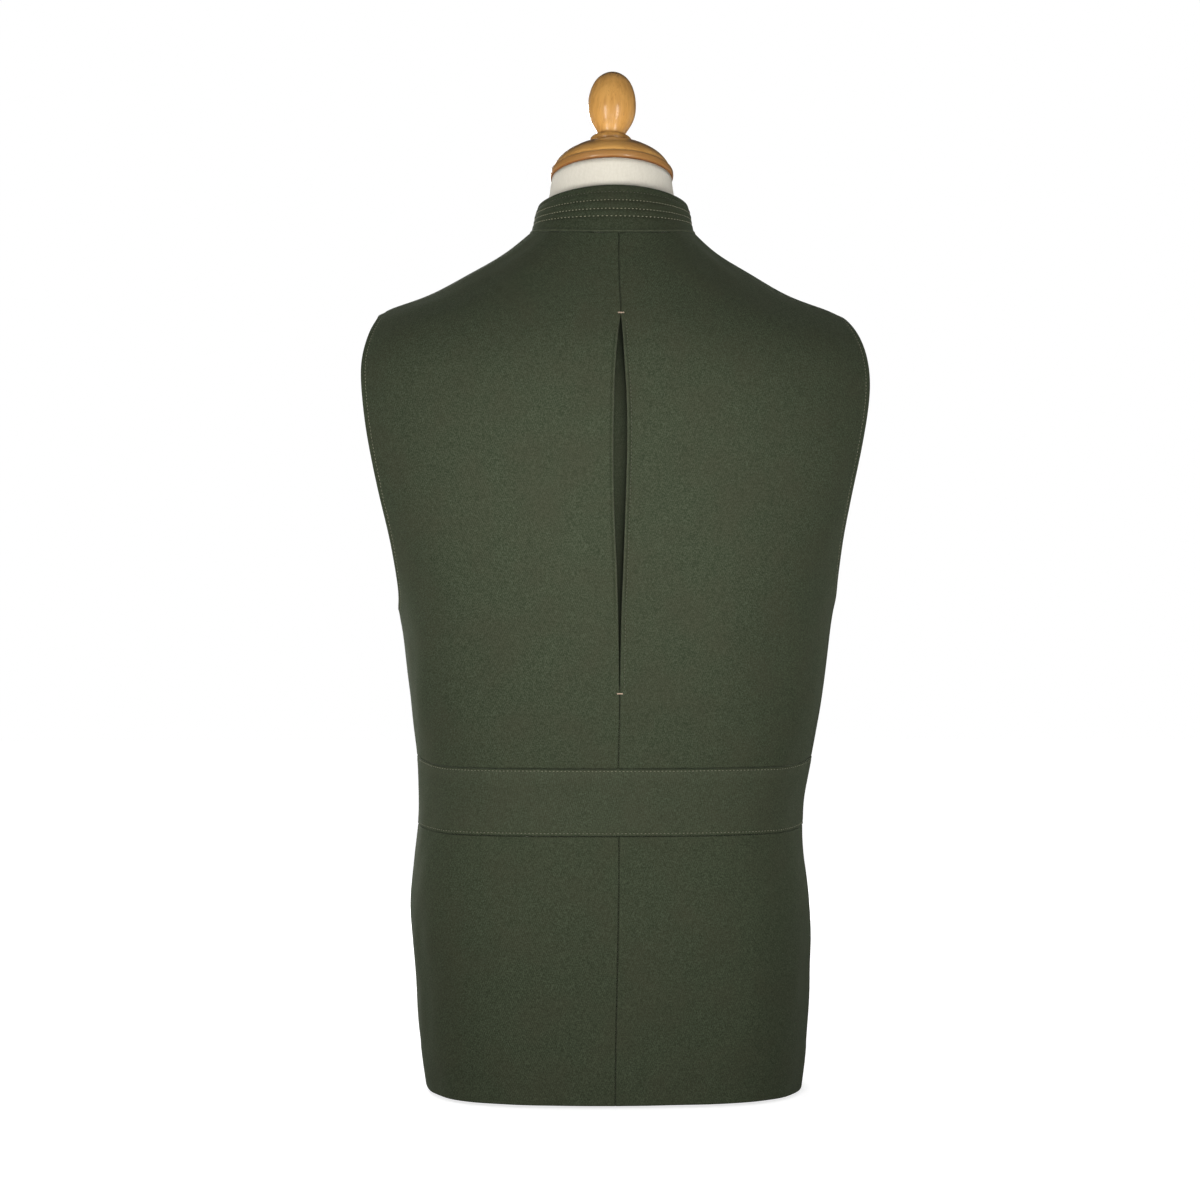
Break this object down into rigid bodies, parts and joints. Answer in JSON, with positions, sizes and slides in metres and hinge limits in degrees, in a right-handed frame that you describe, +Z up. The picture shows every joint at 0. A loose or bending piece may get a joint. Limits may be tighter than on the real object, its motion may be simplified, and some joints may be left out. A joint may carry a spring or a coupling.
{
  "type": "gilet on a dress form",
  "caption": "Wool gilet with a stand collar, an open centre back pleat and a half belt, worn on a limbless linen dress form with a turned wooden neck cap and egg finial.",
  "frame": {"origin": "middle of the bounding box's base, on the surface that the form stands on", "axes": "+Z up, the wearer faces -Y, the wearer's left at +X"},
  "size_m": [0.4005, 0.2604, 0.8238],
  "materials": {
    "green_melton": "fulled wool with a short soft nap",
    "brown_horn": "polished horn",
    "cream_linen": "plain woven linen",
    "lacquered_beech": "turned and lacquered"
  },
  "bodies": {
    "root": {"back_upper_left": "green_melton", "back_upper_right": "green_melton", "pleat_underlay": "green_melton", "back_belt": "green_melton", "back_skirt_left": "green_melton", "back_skirt_right": "green_melton", "front_left": "green_melton", "front_right": "green_melton", "collar": "green_melton", "button_1": "brown_horn", "button_2": "brown_horn", "button_3": "brown_horn", "button_4": "brown_horn", "button_5": "brown_horn", "button_6": "brown_horn", "form_body": "cream_linen", "form_cap": "lacquered_beech", "form_finial": "lacquered_beech"}
  },
  "joints": []
}
